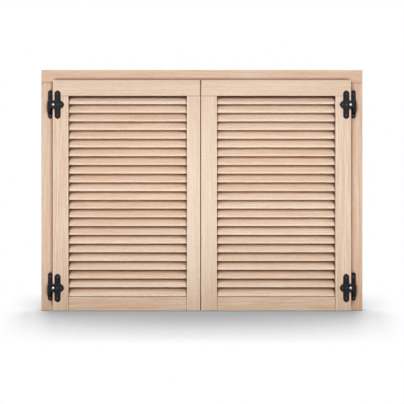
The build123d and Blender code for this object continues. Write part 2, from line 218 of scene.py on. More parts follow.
def angle_property(name, description, degrees):
    """An angle that a user may change."""
    return FloatProperty(
        name=name, description=description, subtype="ANGLE", default=math.radians(degrees)
    )


class ShutterTimber(bpy.types.PropertyGroup):
    """Colours, grain, painted shades and painted highlights of the planed softwood."""

    pale: colour_property("Pale wood", "Palest early wood", tone(245, 227, 207))
    warm: colour_property("Warm wood", "Warm streaks along the grain", tone(229, 198, 172))
    # Pale colour at board edges and slat front edges: partly sanded wear, partly painted highlight
    rim: colour_property("Worn rim and painted highlight", "Wood at a sanded edge", tone(254, 230, 206))
    late: colour_property("Late wood", "Dark line at the end of each ring", tone(202, 152, 119))
    end: colour_property("End grain", "Sawn ends of the boards", tone(200, 158, 124))
    line: colour_property("Grain line", "Tint of the fine lines along the grain", (0.915, 0.815, 0.735))
    fibre: colour_property("Fibre", "Tint of the darker fibres", (0.92, 0.89, 0.865))
    sweep: strength_property("Sweep", "Strength of the broad streaks", 0.36)
    ring_gap: length_property("Ring gap", "Distance between growth rings", 0.0026)
    waver: length_property("Waver", "How far the rings wander along a board", 0.0035)
    slat_waver: length_property("Slat waver", "How far the rings wander along a slat", 0.009)
    # Width of the pale board edge, partly sanded wear and partly painted highlight
    arris: length_property("Sanded edge and painted highlight", "Width of the paler sanded edge of a board", 0.005)
    groove: length_property("Groove", "Width of the shadow groove where the leaves meet", 0.0036)
    tenon: length_property("Tenon", "Length of the tenons beyond a board's shoulders", 0.03)
    # Painted shade: darkens the wood in its corners, where shade falls
    corner: colour_property("Corner shade", "Tint of the wood deep in a corner", (0.15, 0.03, 0.01))
    corner_reach: length_property("Corner reach", "How far a corner's shade spreads", 0.025)
    # Painted shade: darkens each slat at its ends, beside the stiles
    nook_painted_shade: colour_property("Nook shade", "Tint of a slat where it meets a stile", (0.3, 0.18, 0.13))
    nook_reach: length_property("Nook reach", "How far the shade at a slat's ends spreads", 0.007)
    # Dark joint lines between boards, and painted shade where a board meets the floor, under the lowest
    # slat and at a leaf's top
    joint: colour_property("Joint shade", "Tint of the wood along a joint", (0.22, 0.07, 0.045))
    joint_reach: length_property("Joint reach", "Width of the dark line along a joint", 0.0035)
    # Painted shade: the wood is darker towards the floor
    foot: colour_property("Foot painted shade", "Tint of the wood down at the floor", (0.9, 0.85, 0.81))
    foot_reach: length_property("Foot reach", "How far up the foot's tint goes", 0.18)
    # Painted shade: darkens the part of each slat that lies deep under the slat above
    hollow_painted_shade: colour_property("Hollow shade", "Tint of the wood between two slats", (0.34, 0.18, 0.12))
    hollow_reach: length_property("Hollow reach", "How far the shade between slats spreads", 0.06)


class ShutterSlats(bpy.types.PropertyGroup):
    """Set-out of the slats, so that each one has its own grain."""

    pitch: length_property("Pitch", "Height from one slat to the next", 0.0325)
    slope: angle_property("Slope", "Slope of the slats", 39.19)
    sweep: strength_property("Sweep", "Strength of the broad streaks", 0.4)
    blush: strength_property("Blush", "How warm the slats are", 0.1)
    figure: strength_property("Figure", "Strength of the grain lines", 0.6)
    # Painted highlight: how pale the lower band of each slat's front edge is
    rim: strength_property("Rim", "How pale the painted front-edge highlights are", 1.0)
    rosy: colour_property("Rosy tint", "Tint of the reddest slats", (0.935, 0.885, 0.85))


class ShutterFittings(bpy.types.PropertyGroup):
    """Finishes of the hinges and the sizes of the screw heads."""

    coat: colour_property("Black coat", "Powder coat on the cast hinges", tone(24, 23, 28))
    coat_light: colour_property("Rubbed coat", "Lighter patches of the coat", tone(36, 35, 41))
    pin: colour_property("Pin steel", "Darkened steel of the hinge pins", tone(96, 98, 106))
    plating: colour_property("Zinc plating", "Bright plating of the lock screws", tone(190, 191, 197))
    screw: colour_property("Screw black", "Blackened wood screws", tone(66, 65, 70))
    head_dome: length_property("Head dome", "Rise of a screw head's raised face", 0.0007)
    recess_reach: length_property("Recess reach", "Half length of the cross recess", 0.0021)
    recess_width: length_property("Recess width", "Half width of a bar of the recess", 0.00045)
    recess_depth: length_property("Recess depth", "Depth of the cross recess", 0.0017)


class ShutterStage(bpy.types.PropertyGroup):
    """Camera, lamps and floor."""

    eye_distance: length_property("Eye distance", "From the lens to the frame's front", 3.0)
    eye_height: length_property("Eye height", "Height of the lens above the floor", 0.4065)
    eye_aside: length_property("Eye aside", "Lens to the right of the middle", 0.0004)
    view_width: length_property("View width", "Width seen at the frame's front", 1.51)
    sky_front: strength_property("Front sky", "Soft light from the lens's side", 0.5)
    sky_back: strength_property("Back sky", "Soft light from behind the part", 0.25)
    sky_low: strength_property("Low sky", "Share of the light near the horizon", 1.0)
    softbox: power_property("Softbox", "Power of the softbox over the lens", 12.5)
    back_softbox: power_property("Back softbox", "Power of the softbox behind the part", 8.0)
    softbox_spread: angle_property("Softbox spread", "Angle that a softbox's grid lets through", 54.0)
    aim_height: length_property("Aim height", "Height that both softboxes point at", 0.42)
    floor: colour_property("Floor", "Pale floor of the studio", (0.5, 0.5, 0.5))
    shade_reach: length_property("Shade reach", "How far the shade on the floor spreads", 0.72)


class Joint(NamedTuple):
    """A dark line where a board meets its neighbour, partly painted shade, and how far in from its end
    on that side.
    """

    side: str
    depth: float
    inset: float = 0.0


class Board(NamedTuple):
    """How a board is cut, how warm and lined it is, how pale its edges are from wear and painted
    highlight, and where it is joined.
    """

    node: str
    order: tuple
    seed: float
    pith: tuple
    blush: float
    figure: float
    rim: float = 0.0
    ends: float = 0.0
    lip: float = 0.0
    joints: tuple = ()


def put(tree, kind, inputs=None, **settings):
    """Places a node, sets it, and joins or sets its inputs."""
    node = tree.nodes.new(kind)
    for name, value in settings.items():
        setattr(node, name, value)
    for key, value in (inputs or {}).items():
        if isinstance(value, bpy.types.NodeSocket):
            tree.links.new(value, node.inputs[key])
        else:
            node.inputs[key].default_value = value
    return node


def reckon(tree, operation, first, second=0.0):
    """The result of a Math node."""
    return put(tree, "ShaderNodeMath", {0: first, 1: second}, operation=operation).outputs[0]


def plus(tree, first, second):
    """The sum of two values."""
    return reckon(tree, "ADD", first, second)


def minus(tree, first, second):
    """The difference of two values."""
    return reckon(tree, "SUBTRACT", first, second)


def times(tree, first, second):
    """The product of two values."""
    return reckon(tree, "MULTIPLY", first, second)


def spread(tree, value, low, high, to_low=0.0, to_high=1.0):
    """A value moved from one range to another, and held inside it."""
    inputs = {0: value, 1: low, 2: high, 3: to_low, 4: to_high}
    return put(tree, "ShaderNodeMapRange", inputs).outputs[0]


def blended(tree, factor, first, second, blend_type="MIX"):
    """A colour between two colours."""
    inputs = {0: factor, 6: first, 7: second}
    return put(tree, "ShaderNodeMix", inputs, data_type="RGBA", blend_type=blend_type).outputs[2]


def joined(tree, x, y, z):
    """A vector from three values."""
    return put(tree, "ShaderNodeCombineXYZ", {0: x, 1: y, 2: z}).outputs[0]


def split(tree, vector):
    """The three values of a vector."""
    return put(tree, "ShaderNodeSeparateXYZ", {0: vector}).outputs


def vector_step(tree, operation, first, second=(0.0, 0.0, 0.0)):
    """The result of a Vector Math node."""
    inputs = {0: first, 1: second}
    return put(tree, "ShaderNodeVectorMath", inputs, operation=operation).outputs[0]


def scaled(tree, vector, factors):
    """A vector with each part multiplied."""
    return vector_step(tree, "MULTIPLY", vector, factors)


def shifted(tree, vector, step):
    """A vector moved by another."""
    return vector_step(tree, "ADD", vector, step)


def clouds(tree, vector, detail):
    """Soft noise from 0 to 1 at the vector's own scale."""
    inputs = {"Vector": vector, "Scale": 1.0, "Detail": detail}
    return put(tree, "ShaderNodeTexNoise", inputs).outputs["Fac"]


def lots(tree, number):
    """A steady random value and colour for each number."""
    return put(tree, "ShaderNodeTexWhiteNoise", {"W": number}, noise_dimensions="1D").outputs


def opaque(colour):
    """A colour with its alpha."""
    return (*colour, 1.0)


def new_group(name, inputs, outputs):
    """An empty shader group with its sockets, and its two end nodes."""
    tree = bpy.data.node_groups.new(name, "ShaderNodeTree")
    for label, kind in inputs.items():
        tree.interface.new_socket(label, in_out="INPUT", socket_type=kind)
    for label in outputs:
        tree.interface.new_socket(label, in_out="OUTPUT", socket_type=VALUE)
    return tree, put(tree, "NodeGroupInput").outputs, put(tree, "NodeGroupOutput").inputs


def place_group(tree, group, inputs):
    """A group placed in a material, with its own values."""
    return put(tree, "ShaderNodeGroup", inputs, node_tree=group).outputs


def board_grain():
    """Group: rings, streaks and fibres of a board, along X, across Y and into Z, in metres."""
    name = "Board grain"
    if name in bpy.data.node_groups:
        return bpy.data.node_groups[name]
    inputs = {"Vector": VECTOR, "Pith": VECTOR, "Seed": VALUE, "Ring gap": VALUE, "Waver": VALUE}
    outputs = ("Late wood", "Streak", "Line", "Fibre", "Mottle", "Height")
    tree, given, result = new_group(name, inputs, outputs)
    seed = given["Seed"]
    far_off = scaled(tree, joined(tree, seed, seed, seed), LOG_STEP)
    place = shifted(tree, given["Vector"], far_off)

    wander = clouds(tree, scaled(tree, place, WANDER_WAVES), 2.0)
    tremble = clouds(tree, scaled(tree, place, TREMBLE_WAVES), 1.0)
    wander = minus(tree, wander, 0.5)
    sway = plus(tree, wander, spread(tree, tremble, 0.0, 1.0, -TREMBLE_SHARE, TREMBLE_SHARE))
    sway = times(tree, sway, times(tree, given["Waver"], 2.0))
    from_pith = vector_step(tree, "SUBTRACT", given["Vector"], given["Pith"])
    from_pith = scaled(tree, from_pith, (0.0, 1.0, 1.0))
    radius = put(tree, "ShaderNodeVectorMath", {0: from_pith}, operation="LENGTH").outputs["Value"]
    radius = plus(tree, radius, sway)

    ring = reckon(tree, "DIVIDE", radius, given["Ring gap"])
    season = reckon(tree, "POWER", reckon(tree, "FRACT", ring), SEASON_POWER)
    year = lots(tree, plus(tree, reckon(tree, "FLOOR", ring), seed))["Value"]
    late = times(tree, season, spread(tree, year, 0.0, 1.0, FAINTEST_YEAR, 1.0))
    along = times(tree, split(tree, place)[0], BAND_WAVES_ALONG)
    bands = joined(tree, along, times(tree, radius, BAND_WAVES_OUT), seed)
    streak = spread(tree, clouds(tree, bands, 3.0), *STREAK_RANGE)

    line = spread(tree, clouds(tree, scaled(tree, place, LINE_WAVES), 1.0), *LINE_RANGE)
    fibre = clouds(tree, scaled(tree, place, FIBRE_WAVES), 2.0)
    pore = clouds(tree, scaled(tree, place, PORE_WAVES), 1.0)
    fibre = plus(tree, times(tree, fibre, FIBRE_SHARE), times(tree, pore, PORE_SHARE))
    mottle = clouds(tree, scaled(tree, place, MOTTLE_WAVES), 1.0)
    height = plus(tree, times(tree, fibre, FIBRE_RELIEF), times(tree, late, LATE_RELIEF))
    for label, value in zip(outputs, (late, streak, line, fibre, mottle, height)):
        tree.links.new(value, result[label])
    return tree


def pale_edge_mask():
    """Group: how near a point is to a long edge of its board, from its middle and half sizes."""
    name = "Sanded arris"
    if name in bpy.data.node_groups:
        return bpy.data.node_groups[name]
    inputs = {"Vector": VECTOR, "Half size": VECTOR, "Width": VALUE}
    tree, given, result = new_group(name, inputs, ["Edge"])
    from_middle = vector_step(tree, "ABSOLUTE", given["Vector"])
    inset = split(tree, vector_step(tree, "SUBTRACT", given["Half size"], from_middle))
    nearest = reckon(tree, "MAXIMUM", inset[1], inset[2])
    inputs = {0: nearest, 1: 0.0, 2: given["Width"], 3: 1.0, 4: 0.0}
    edge = put(tree, "ShaderNodeMapRange", inputs, interpolation_type="SMOOTHSTEP")
    tree.links.new(edge.outputs[0], result["Edge"])
    return tree


def painted_occlusion_shade():
    """Group: painted shade, 0 deep in a corner and 1 on an open face, with the floor's own part left
    out.
    """
    name = "Corner shade"
    if name in bpy.data.node_groups:
        return bpy.data.node_groups[name]
    tree, given, result = new_group(name, {"Reach": VALUE, "Shut": VALUE, "Free": VALUE}, ["Open"])
    outlook = {"Distance": given["Reach"]}
    sky = put(tree, "ShaderNodeAmbientOcclusion", outlook, samples=SHADE_RAYS).outputs["AO"]
    height = split(tree, put(tree, "ShaderNodeNewGeometry").outputs["Position"])[2]
    height = reckon(tree, "DIVIDE", height, given["Reach"])
    sky = plus(tree, sky, spread(tree, height, 0.0, 1.0, FLOOR_SHARE, 0.0))
    tree.links.new(spread(tree, sky, given["Shut"], given["Free"]), result["Open"])
    return tree


def cast_skin():
    """Group: the fine orange peel and soft blotches of a coated casting."""
    name = "Cast skin"
    if name in bpy.data.node_groups:
        return bpy.data.node_groups[name]
    tree, given, result = new_group(name, {"Vector": VECTOR}, ["Peel", "Blotch"])
    peel = clouds(tree, scaled(tree, given["Vector"], PEEL_WAVES), 2.0)
    blotch = clouds(tree, scaled(tree, given["Vector"], BLOTCH_WAVES), 3.0)
    tree.links.new(peel, result["Peel"])
    tree.links.new(spread(tree, blotch, *BLOTCH_RANGE), result["Blotch"])
    return tree


def new_material(name):
    """A material with only its shader and its output."""
    material = bpy.data.materials.new(name)
    material.use_nodes = True
    tree = material.node_tree
    tree.nodes.clear()
    shader = put(tree, "ShaderNodeBsdfPrincipled")
    put(tree, "ShaderNodeOutputMaterial", {"Surface": shader.outputs[0]})
    return material, tree, shader


def assign(node, material):
    """Gives a CAD node its finish."""
    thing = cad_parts[node]
    if not thing.material_slots:
        thing.data.materials.append(material)
    for slot in thing.material_slots:
        slot.material = material


def wood_finish(tree, shader, timber, grain, blush, sweep, figure, end, edge, shades):
    """Joins the grain of a board to its shader, with pale edges of wear and painted highlight, and its
    mostly painted shades.
    """
    tint = times(tree, minus(tree, grain["Streak"], 0.5), sweep)
    mottle = spread(tree, grain["Mottle"], *MOTTLE_RANGE, -MOTTLE_SHARE, MOTTLE_SHARE)
    tint = plus(tree, tint, mottle)
    tint = put(tree, "ShaderNodeMath", {0: tint, 1: blush}, operation="ADD", use_clamp=True).outputs[0]
    colour = blended(tree, tint, opaque(timber.pale), opaque(timber.warm))
    late = times(tree, grain["Late wood"], LATE_SHARE * figure)
    colour = blended(tree, late, colour, opaque(timber.late))
    line = times(tree, grain["Line"], figure)
    colour = blended(tree, line, colour, opaque(timber.line), "MULTIPLY")
    colour = blended(tree, times(tree, end, END_SHARE), colour, opaque(timber.end))
    # Pale edges: partly sanded wear, partly painted highlight
    colour = blended(tree, edge, colour, opaque(timber.rim))
    fibre = spread(tree, grain["Fibre"], *FIBRE_RANGE)
    fibre = blended(tree, fibre, opaque(timber.fibre), FIBRE_LIGHT)
    colour = blended(tree, 1.0, colour, fibre, "MULTIPLY")
    # Each tint darkens the colour where its mask is low: painted shade in corners, between slats, at
    # slat ends, along contacts and at the foot, dark joint lines, and the rosy tone of some slats
    for shade, clear in shades:
        shaded = blended(tree, clear, opaque(shade), WHITE)
        colour = blended(tree, 1.0, colour, shaded, "MULTIPLY")
    tree.links.new(colour, shader.inputs["Base Color"])
    roughness = spread(tree, grain["Fibre"], *ROUGH_RANGE, *WOOD_ROUGHNESS)
    tree.links.new(roughness, shader.inputs["Roughness"])
    bump = put(tree, "ShaderNodeBump", {"Height": grain["Height"], **WOOD_BUMP})
    tree.links.new(bump.outputs[0], shader.inputs["Normal"])
    shader.inputs["Specular IOR Level"].default_value = WOOD_GLOSS


def joint_lines_and_painted_shades(tree, board, timber, axes, half):
    """The dark line at each of a board's joints, on the faces that show it; partly painted shade."""
    shades = []
    from_front = plus(tree, half.y, axes[1])
    from_faces = reckon(tree, "MINIMUM", from_front, minus(tree, half.y, axes[1]))
    for side, depth, inset in board.joints:
        place, way = JOINT_SIDES[side]
        axis = board.order[place]
        from_face = from_front if place else from_faces
        behind = spread(tree, from_face, JOINT_FACE, timber.joint_reach)
        shoulder = half[axis] - inset
        from_joint = minus(tree, shoulder, times(tree, axes[axis], way))
        clear = spread(tree, from_joint, 0.0, timber.joint_reach, 1.0 - depth, 1.0)
        shades.append((timber.joint, reckon(tree, "MAXIMUM", clear, behind)))
    return shades


def dress_board(board, timber):
    """Gives one board its own timber."""
    low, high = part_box(board.node)
    high.x -= board.lip
    middle = (low + high) / 2
    half = (high - low) / 2
    material, tree, shader = new_material(f"{board.node}_timber")
    coords = put(tree, "ShaderNodeTexCoord").outputs
    axes = split(tree, shifted(tree, coords["Object"], -middle))
    length = board.order[0]
    place = joined(tree, *[axes[i] for i in board.order])

    cut = {"Vector": place, "Pith": (0.0, *board.pith), "Seed": board.seed}
    rings = {"Ring gap": timber.ring_gap, "Waver": timber.waver}
    grain = place_group(tree, board_grain(), {**cut, **rings})
    sizes = {"Half size": [half[i] for i in board.order], "Width": timber.arris}
    edge = place_group(tree, pale_edge_mask(), {"Vector": place, **sizes})["Edge"]
    edge = times(tree, edge, board.rim)
    facing = reckon(tree, "ABSOLUTE", split(tree, coords["Normal"])[length])
    end = spread(tree, facing, *END_LEAN)
    from_middle = reckon(tree, "POWER", reckon(tree, "DIVIDE", axes[length], half[length]), 2.0)
    blush = plus(tree, times(tree, from_middle, board.ends), board.blush)

    # Painted shade: darkens the front of the board in its corners, from occlusion
    sky = {"Reach": timber.corner_reach, **CORNER_SKY}
    corner = place_group(tree, painted_occlusion_shade(), sky)["Open"]
    rear = spread(tree, axes[1], -REAR_SHARE * half.y, REAR_SHARE * half.y)
    height = split(tree, coords["Object"])[2]
    shades = [
        (timber.corner, reckon(tree, "MAXIMUM", corner, rear)),
        # Painted shade, darker towards the floor
        (timber.foot, spread(tree, height, 0.0, timber.foot_reach)),
        *joint_lines_and_painted_shades(tree, board, timber, axes, half),
    ]
    wood_finish(tree, shader, timber, grain, blush, timber.sweep, board.figure, end, edge, shades)
    assign(board.node, material)


class SHUTTER_OT_dress_frame(bpy.types.Operator):
    """Gives the head and the jambs their timber"""

    bl_idname = "shutter.dress_frame"
    bl_label = "Dress the frame"

    def execute(self, context):
        timber = context.scene.shutter_timber
        joints = (Joint("start", 0.8), Joint("finish", 0.3, timber.tenon))
        post = {"ends": 0.25, "joints": joints}
        for board in (
            Board("frame_head", ACROSS, 1.0, (0.11, 0.05), blush=0.64, figure=1.15),
            Board("left_jamb", UPRIGHT, 2.0, (-0.14, 0.03), blush=0.54, figure=0.75, **post),
            Board("right_jamb", UPRIGHT, 3.0, (0.12, 0.04), blush=0.5, figure=1.6, **post),
        ):
            dress_board(board, timber)
        return {"FINISHED"}


class SHUTTER_OT_dress_leaves(bpy.types.Operator):
    """Gives the stiles and the rails of both leaves their timber"""

    bl_idname = "shutter.dress_leaves"
    bl_label = "Dress the leaves"

    def execute(self, context):
        timber = context.scene.shutter_timber
        for board in (*self.stiles(timber), *self.rails(timber)):
            dress_board(board, timber)
        return {"FINISHED"}

    def stiles(self, timber):
        """The upright boards, in order from the left."""
        joints = (Joint("start", 1.0), Joint("finish", 0.35, timber.tenon))
        hinge = {"blush": 0.18, "rim": 0.7, "joints": joints}
        meeting = {"figure": 0.45, "ends": 0.42, "joints": joints}
        return (
            Board("left_hinge_stile", UPRIGHT, 4.0, (0.13, 0.03), figure=1.1, **hinge),
            Board(
                "left_meeting_stile", UPRIGHT, 5.0, (-0.16, 0.04), blush=0.04, rim=1.0,
                lip=timber.groove, **meeting,
            ),
            Board("right_meeting_stile", UPRIGHT, 6.0, (0.1, 0.03), blush=0.05, rim=0.7, **meeting),
            Board("right_hinge_stile", UPRIGHT, 7.0, (-0.12, 0.05), figure=0.95, **hinge),
        )

    def rails(self, timber):
        """The boards across, the top ones first."""
        shoulders = (Joint("start", 0.65, timber.tenon), Joint("finish", 0.65, timber.tenon))
        crown = {"figure": 0.4, "rim": 0.5, "joints": (Joint("high", 0.3),)}
        sole = {"blush": 0.2, "figure": 1.3, "rim": 0.3}
        sole["joints"] = (*shoulders, Joint("low", 1.0), Joint("high", 1.0))
        return (
            Board("left_top_rail", ACROSS, 8.0, (-0.1, 0.04), blush=0.54, lip=timber.groove, **crown),
            Board("right_top_rail", ACROSS, 9.0, (0.12, 0.03), blush=0.56, **crown),
            Board("left_bottom_rail", ACROSS, 10.0, (0.1, 0.05), **sole),
            Board("right_bottom_rail", ACROSS, 11.0, (-0.13, 0.03), **sole),
        )


class SHUTTER_OT_dress_slats(bpy.types.Operator):
    """Gives each slat its own cut of timber"""

    bl_idname = "shutter.dress_slats"
    bl_label = "Dress the slats"

    def execute(self, context):
        for side, seed in zip(SIDES, SLAT_SEEDS):
            self.dress(side, seed, context.scene.shutter_timber, context.scene.shutter_slats)
        return {"FINISHED"}

    def dress(self, side, seed, timber, slats):
        """One leaf's slats: the slat's number in the stack picks its grain and tint."""
        node = f"{side}_slats"
        low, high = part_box(node)
        material, tree, shader = new_material(f"{node}_timber")
        coords = put(tree, "ShaderNodeTexCoord").outputs
        x, y, z = split(tree, shifted(tree, coords["Object"], -low))
        slope = slats.slope
        level = minus(tree, z, times(tree, y, math.tan(slope)))
        level = plus(tree, reckon(tree, "DIVIDE", level, slats.pitch), SLAT_START)
        number = reckon(tree, "FLOOR", level)
        z = minus(tree, z, times(tree, number, slats.pitch))
        across = plus(tree, times(tree, y, math.cos(slope)), times(tree, z, math.sin(slope)))
        into = minus(tree, times(tree, z, math.cos(slope)), times(tree, y, math.sin(slope)))

        lot = lots(tree, plus(tree, number, seed))
        far_off = vector_step(tree, "SUBTRACT", lot["Color"], (0.5, 0.5, 0.5))
        far_off = scaled(tree, far_off, SLAT_CUTS)
        cut = {"Vector": shifted(tree, joined(tree, x, across, into), far_off), "Pith": SLAT_PITH}
        rings = {"Seed": seed, "Ring gap": timber.ring_gap, "Waver": timber.slat_waver}
        grain = place_group(tree, board_grain(), {**cut, **rings})
        facing = split(tree, coords["Normal"])
        end = spread(tree, reckon(tree, "ABSOLUTE", facing[0]), *END_LEAN)
        # Painted highlight on the lower band of each slat's front-facing edge
        nose_highlight = spread(tree, facing[1], *NOSE_HIGHLIGHT_LEAN, slats.rim, 0.0)
        nose_highlight = times(tree, nose_highlight, spread(tree, z, *NOSE_HIGHLIGHT_HEIGHT, 1.0, 0.0))

        # Painted shade at each slat's ends, darkest where it meets a stile
        stiles = [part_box(f"{side}_{edge}_stile") for edge in ("hinge", "meeting")]
        stiles.sort(key=lambda box: box[0].x)
        near = stiles[0][1].x - low.x
        far = stiles[1][0].x - low.x
        from_ends = reckon(tree, "MINIMUM", minus(tree, x, near), minus(tree, far, x))
        nook_painted_shade = spread(tree, from_ends, 0.0, timber.nook_reach)
        # Painted shade deep between the slats, from occlusion, made stronger on the lower slats
        lowness = spread(tree, split(tree, coords["Object"])[2], low.z, high.z, 1.0, 0.0)
        lowness = reckon(tree, "POWER", lowness, 2.0)
        sky = {
            "Reach": timber.hollow_reach,
            "Shut": spread(tree, lowness, 0.0, 1.0, *HOLLOW_SHUT),
            "Free": spread(tree, lowness, 0.0, 1.0, *HOLLOW_FREE),
        }
        hollow_painted_shade = place_group(tree, painted_occlusion_shade(), sky)["Open"]
        shades = [(slats.rosy, lot["Value"]), (timber.nook_painted_shade, nook_painted_shade), (timber.hollow_painted_shade, hollow_painted_shade)]
        wood_finish(
            tree, shader, timber, grain, slats.blush, slats.sweep, slats.figure, end, nose_highlight, shades
        )
        assign(node, material)


def coated(name, base, light, roughness, metallic, peel_height, gloss=0.5):
    """A coated or plated metal with orange peel and soft blotches."""
    material, tree, shader = new_material(name)
    coords = put(tree, "ShaderNodeTexCoord").outputs["Object"]
    skin = place_group(tree, cast_skin(), {"Vector": coords})
    colour = blended(tree, skin["Blotch"], opaque(base), opaque(light))
    tree.links.new(colour, shader.inputs["Base Color"])
    tree.links.new(spread(tree, skin["Blotch"], 0.0, 1.0, *roughness), shader.inputs["Roughness"])
    peel = {"Height": skin["Peel"], "Strength": PEEL_STRENGTH, "Distance": peel_height}
    tree.links.new(put(tree, "ShaderNodeBump", peel).outputs[0], shader.inputs["Normal"])
    shader.inputs["Metallic"].default_value = metallic
    shader.inputs["Specular IOR Level"].default_value = gloss
    return material


class SHUTTER_OT_dress_hinges(bpy.types.Operator):
    """Gives the straps, the pintle plates and the pins their finishes"""

    bl_idname = "shutter.dress_hinges"
    bl_label = "Dress the hinges"

    def execute(self, context):
        fittings = context.scene.shutter_fittings
        light = fittings.coat_light
        black = coated(
            "hinge_black_coat", fittings.coat, light,
            roughness=(0.45, 0.6), metallic=0.0, peel_height=0.00012, gloss=0.12,
        )
        steel = coated(
            "pin_dark_steel", fittings.pin, light,
            roughness=(0.28, 0.45), metallic=1.0, peel_height=0.00004,
        )
        for side in SIDES:
            for hinge in HINGES:
                assign(f"{side}_{hinge}_strap", black)
                assign(f"{side}_{hinge}_pintle_plate", black)
                assign(f"{side}_{hinge}_hinge_pin", steel)
        return {"FINISHED"}


class SHUTTER_OT_dress_lock_screws(bpy.types.Operator):
    """Gives the lock screws their bright plating"""

    bl_idname = "shutter.dress_lock_screws"
    bl_label = "Dress the lock screws"

    def execute(self, context):
        bright = context.scene.shutter_fittings.plating
        dimmer = [DULL_PLATING * part for part in bright]
        plated = coated(
            "lock_screw_zinc", bright, dimmer,
            roughness=(0.3, 0.4), metallic=1.0, peel_height=0.00001,
        )
        for side in SIDES:
            assign(f"{side}_lock_screws", plated)
        return {"FINISHED"}


def turn(bm, profile, segments):
    """Turns a profile of radius and depth about the Y axis."""
    rings = []
    for radius, depth in profile:
        angles = [2 * math.pi * i / segments for i in range(segments)] if radius else [0.0]
        ring = [(radius * math.cos(a), depth, radius * math.sin(a)) for a in angles]
        rings.append([bm.verts.new(point) for point in ring])
    for near, far in zip(rings, rings[1:]):
        for i in range(segments):
            j = (i + 1) % segments
            corners = [
                near[i % len(near)], near[j % len(near)], far[j % len(far)], far[i % len(far)]
            ]
            bm.faces.new(list(dict.fromkeys(corners)))
    bmesh.ops.recalc_face_normals(bm, faces=bm.faces)


def mesh_from(bm, name):
    """A mesh from a bmesh, which ends here."""
    mesh = bpy.data.meshes.new(name)
    bm.to_mesh(mesh)
    bm.free()
    return mesh


def solids(node):
    """Lowest and highest corner of each separate solid in a CAD node."""
    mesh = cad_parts[node].data
    keys = [tuple(round(c, 6) for c in vertex.co) for vertex in mesh.vertices]
    root = {key: key for key in keys}

    def top(key):
        while root[key] != key:
            root[key] = root[root[key]]
            key = root[key]
        return key

    for polygon in mesh.polygons:
        first = top(keys[polygon.vertices[0]])
        for i in polygon.vertices[1:]:
            root[top(keys[i])] = first
    groups = {}
    for key in root:
        groups.setdefault(top(key), []).append(key)
    boxes = [(Vector(map(min, *points)), Vector(map(max, *points))) for points in groups.values()]
    return sorted(boxes, key=lambda corners: tuple(round(c, 4) for c in corners[0]))


class SHUTTER_OT_make_wood_screws(bpy.types.Operator):
    """Makes the raised, cross-recessed wood screws of the straps and the plates"""

    bl_idname = "shutter.make_wood_screws"
    bl_label = "Make the wood screws"

    def execute(self, context):
        fittings = context.scene.shutter_fittings
        dull = [DULL_SCREW * part for part in fittings.screw]
        black = coated(
            "wood_screw_black", fittings.screw, dull,
            roughness=(0.28, 0.4), metallic=1.0, peel_height=0.00003,
        )
        for side in SIDES:
            self.make(f"{side}_strap_screws", f"{side}_leaf", fittings, black)
            self.make(f"{side}_plate_screws", "frame", fittings, black)
        return {"FINISHED"}

    def make(self, node, body, fittings, material):
        """One set of screws, each where its CAD solid is."""
        bm = bmesh.new()
        for number, (low, high) in enumerate(solids(node)):
            radius = (high.x - low.x) / 2
            screw = self.screw(radius, high.y - low.y, fittings)
            screw.transform(Matrix.Rotation(math.radians(SCREW_TURN * number), 4, "Y"))
            place = ((low.x + high.x) / 2, low.y, (low.z + high.z) / 2)
            screw.transform(Matrix.Translation(place))
            bm.from_mesh(screw)
            bpy.data.meshes.remove(screw)
        mesh = mesh_from(bm, f"{node}_crossed")
        mesh.materials.append(material)
        mesh.shade_smooth()
        mesh.set_sharp_from_angle(angle=math.radians(SHARP_ANGLE))
        thing = bpy.data.objects.new(f"{node}_crossed", mesh)
        bpy.context.scene.collection.objects.link(thing)
        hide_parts(node)
        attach(thing, body)

    def screw(self, radius, length, fittings):
        """A raised countersunk head with a cross recess, on a shank with a thread."""
        dome = fittings.head_dome
        shares = [k / HEAD_RINGS for k in range(1, HEAD_RINGS + 1)]
        profile = [(0.0, -dome)]
        profile += [(radius * share, -dome * (1 - share ** 2)) for share in shares]
        neck = radius * NECK
        start = length * PLAIN_SHANK
        profile += [(radius, dome * HEAD_RIM), (neck, radius * HEAD_DEPTH), (neck, start)]
        step = length * THREADED_SHANK / THREADS
        for k in range(THREADS):
            depth = start + step * k
            profile += [(neck * THREAD_CREST, depth + step / 2), (neck * THREAD_ROOT, depth + step)]
        profile.append((0.0, length))
        bm = bmesh.new()
        turn(bm, profile, SCREW_SEGMENTS)
        body = bpy.data.objects.new("screw_body", mesh_from(bm, "screw_body"))
        recess = bpy.data.objects.new("screw_recess", self.recess(fittings))
        for thing in (body, recess):
            bpy.context.scene.collection.objects.link(thing)
        cut = body.modifiers.new("recess", "BOOLEAN")
        cut.operation = "DIFFERENCE"
        cut.solver = "EXACT"
        cut.object = recess
        ready = body.evaluated_get(bpy.context.evaluated_depsgraph_get())
        mesh = bpy.data.meshes.new_from_object(ready)
        for thing in (body, recess):
            bpy.data.meshes.remove(thing.data)
        return mesh

    def recess(self, fittings):
        """The tapered cross that is sunk in a head."""
        reach, width = fittings.recess_reach, fittings.recess_width
        outline = []
        for k in range(4):
            turned = Matrix.Rotation(math.radians(90.0 * k), 2)
            for corner in ((reach, -width), (reach, width), (width, width)):
                outline.append(turned @ Vector(corner))
        bm = bmesh.new()
        mouth = (-2 * fittings.head_dome, RECESS_MOUTH)
        foot = (fittings.recess_depth, RECESS_FOOT)
        rings = []
        for depth, share in (mouth, foot):
            points = [(point.x * share, depth, point.y * share) for point in outline]
            rings.append([bm.verts.new(point) for point in points])
        bm.faces.new(rings[0])
        bm.faces.new(rings[1])
        for i, point in enumerate(rings[0]):
            j = (i + 1) % len(outline)
            bm.faces.new((point, rings[0][j], rings[1][j], rings[1][i]))
        bmesh.ops.recalc_face_normals(bm, faces=bm.faces)
        return mesh_from(bm, "screw_recess")


